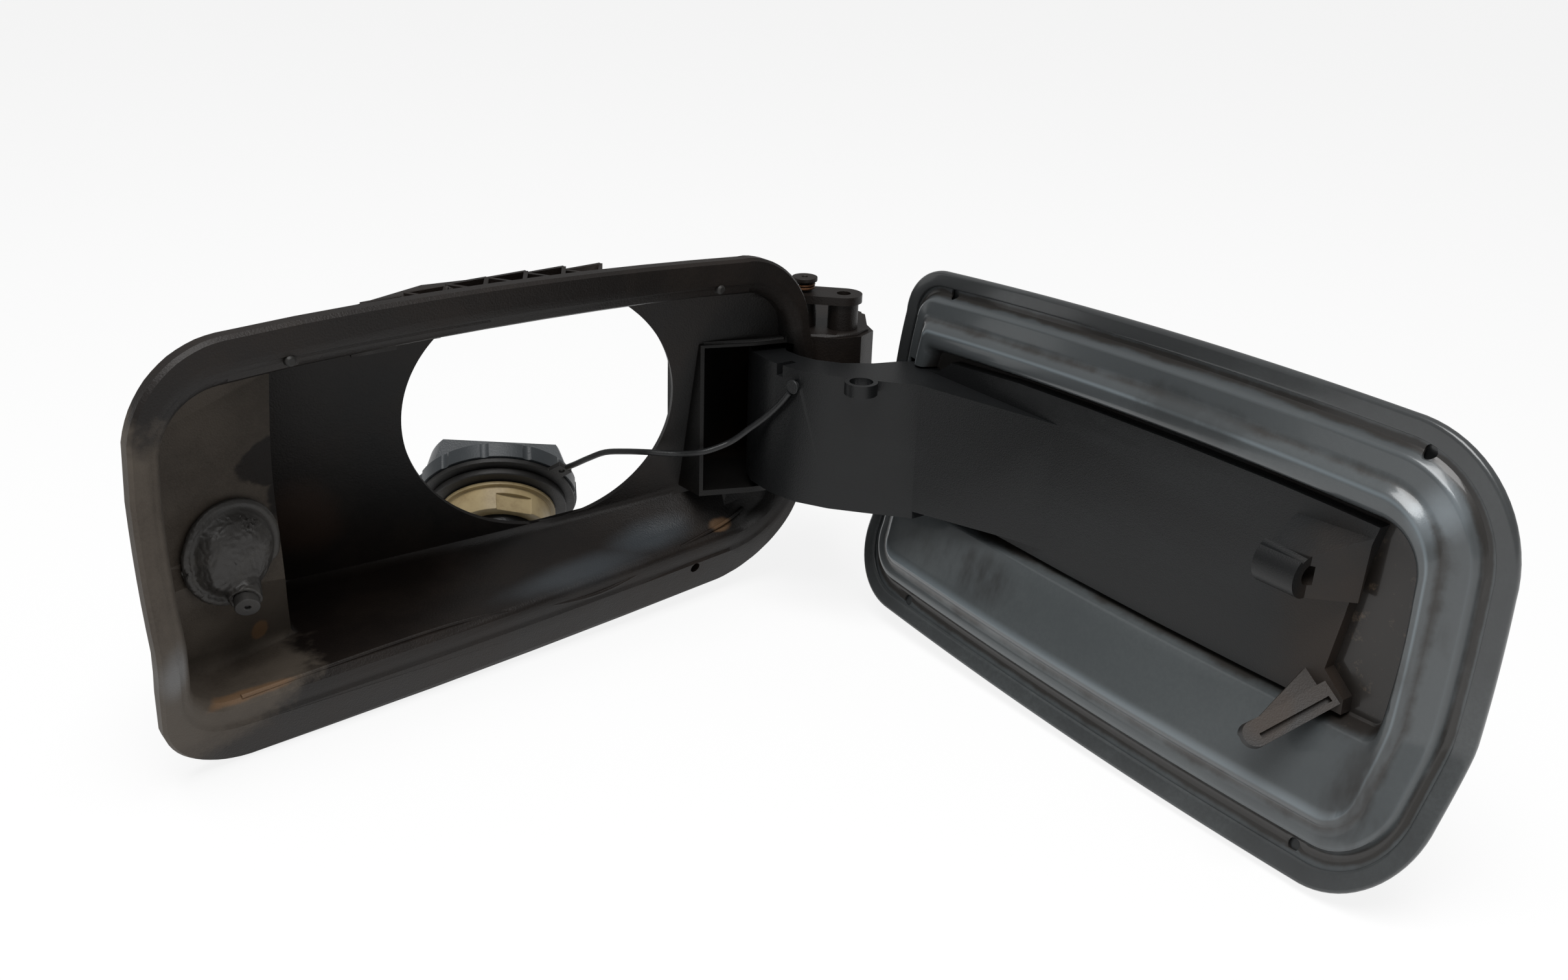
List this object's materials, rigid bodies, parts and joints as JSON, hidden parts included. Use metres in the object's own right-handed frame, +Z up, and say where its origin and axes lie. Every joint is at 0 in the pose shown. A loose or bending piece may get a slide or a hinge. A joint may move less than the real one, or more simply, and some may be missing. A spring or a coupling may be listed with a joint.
{
  "type": "fuel door",
  "caption": "Moulded filler housing with a round neck hole, a hinged pressed flap on a hooked arm and a tethered filler cap.",
  "frame": {"origin": "centre of the bounding box on the ground, part standing as in the picture", "axes": "+X along the housing's rim to the hinge end, +Y into the car body, +Z up along the hinge pin"},
  "size_m": [0.3317, 0.4471, 0.1701],
  "materials": {
    "housing_plastic": "dusty",
    "black_rubber": "matte",
    "pin_steel": "dull",
    "spring_steel": "rusty",
    "boot_rubber": "dusty",
    "lock_plastic": "matte",
    "arm_plastic": "satin",
    "panel_paint": "semi-gloss, dusty",
    "skin_paint": "gloss",
    "cap_plastic": "satin",
    "insert_plastic": "satin",
    "valve_plastic": "satin",
    "tether_rubber": "satin"
  },
  "bodies": {
    "housing_body": {"housing": "housing_plastic", "hinge_pin": "pin_steel", "pin_clip": "pin_steel", "spring_post": "housing_plastic", "hinge_spring": "spring_steel", "latch_boot": "boot_rubber", "door_buffers": "black_rubber", "cap_ring": "black_rubber", "tether": "tether_rubber"},
    "door_body": {"door_arm": "arm_plastic", "inner_panel": "panel_paint", "outer_skin": "skin_paint", "tether_clip": "tether_rubber"},
    "lock_body": {"lock_pin": "lock_plastic"},
    "cap_body": {"cap_head": "cap_plastic", "cap_seal": "black_rubber", "cap_insert": "insert_plastic", "cap_valve": "valve_plastic"}
  },
  "joints": [
    {"name": "flap_hinge", "type": "hinge", "parent": "housing_body", "child": "door_body", "pos_m": [0.1414, 0.081, 0.0808], "axis": [0, 0, 1], "range_deg": [-84.5, 4], "deforming": ["tether"]},
    {"name": "lock_slide", "type": "slide", "parent": "housing_body", "child": "lock_body", "axis": [0.3017, 0.8548, 0.4224], "range_m": [0, 0.004], "stiffness_N_per_m": 300},
    {"name": "cap_swivel", "type": "hinge", "parent": "housing_body", "child": "cap_body", "pos_m": [0.0309, 0.187, 0.0299], "axis": [0.4393, 0.7031, 0.5592], "continuous": true}
  ]
}
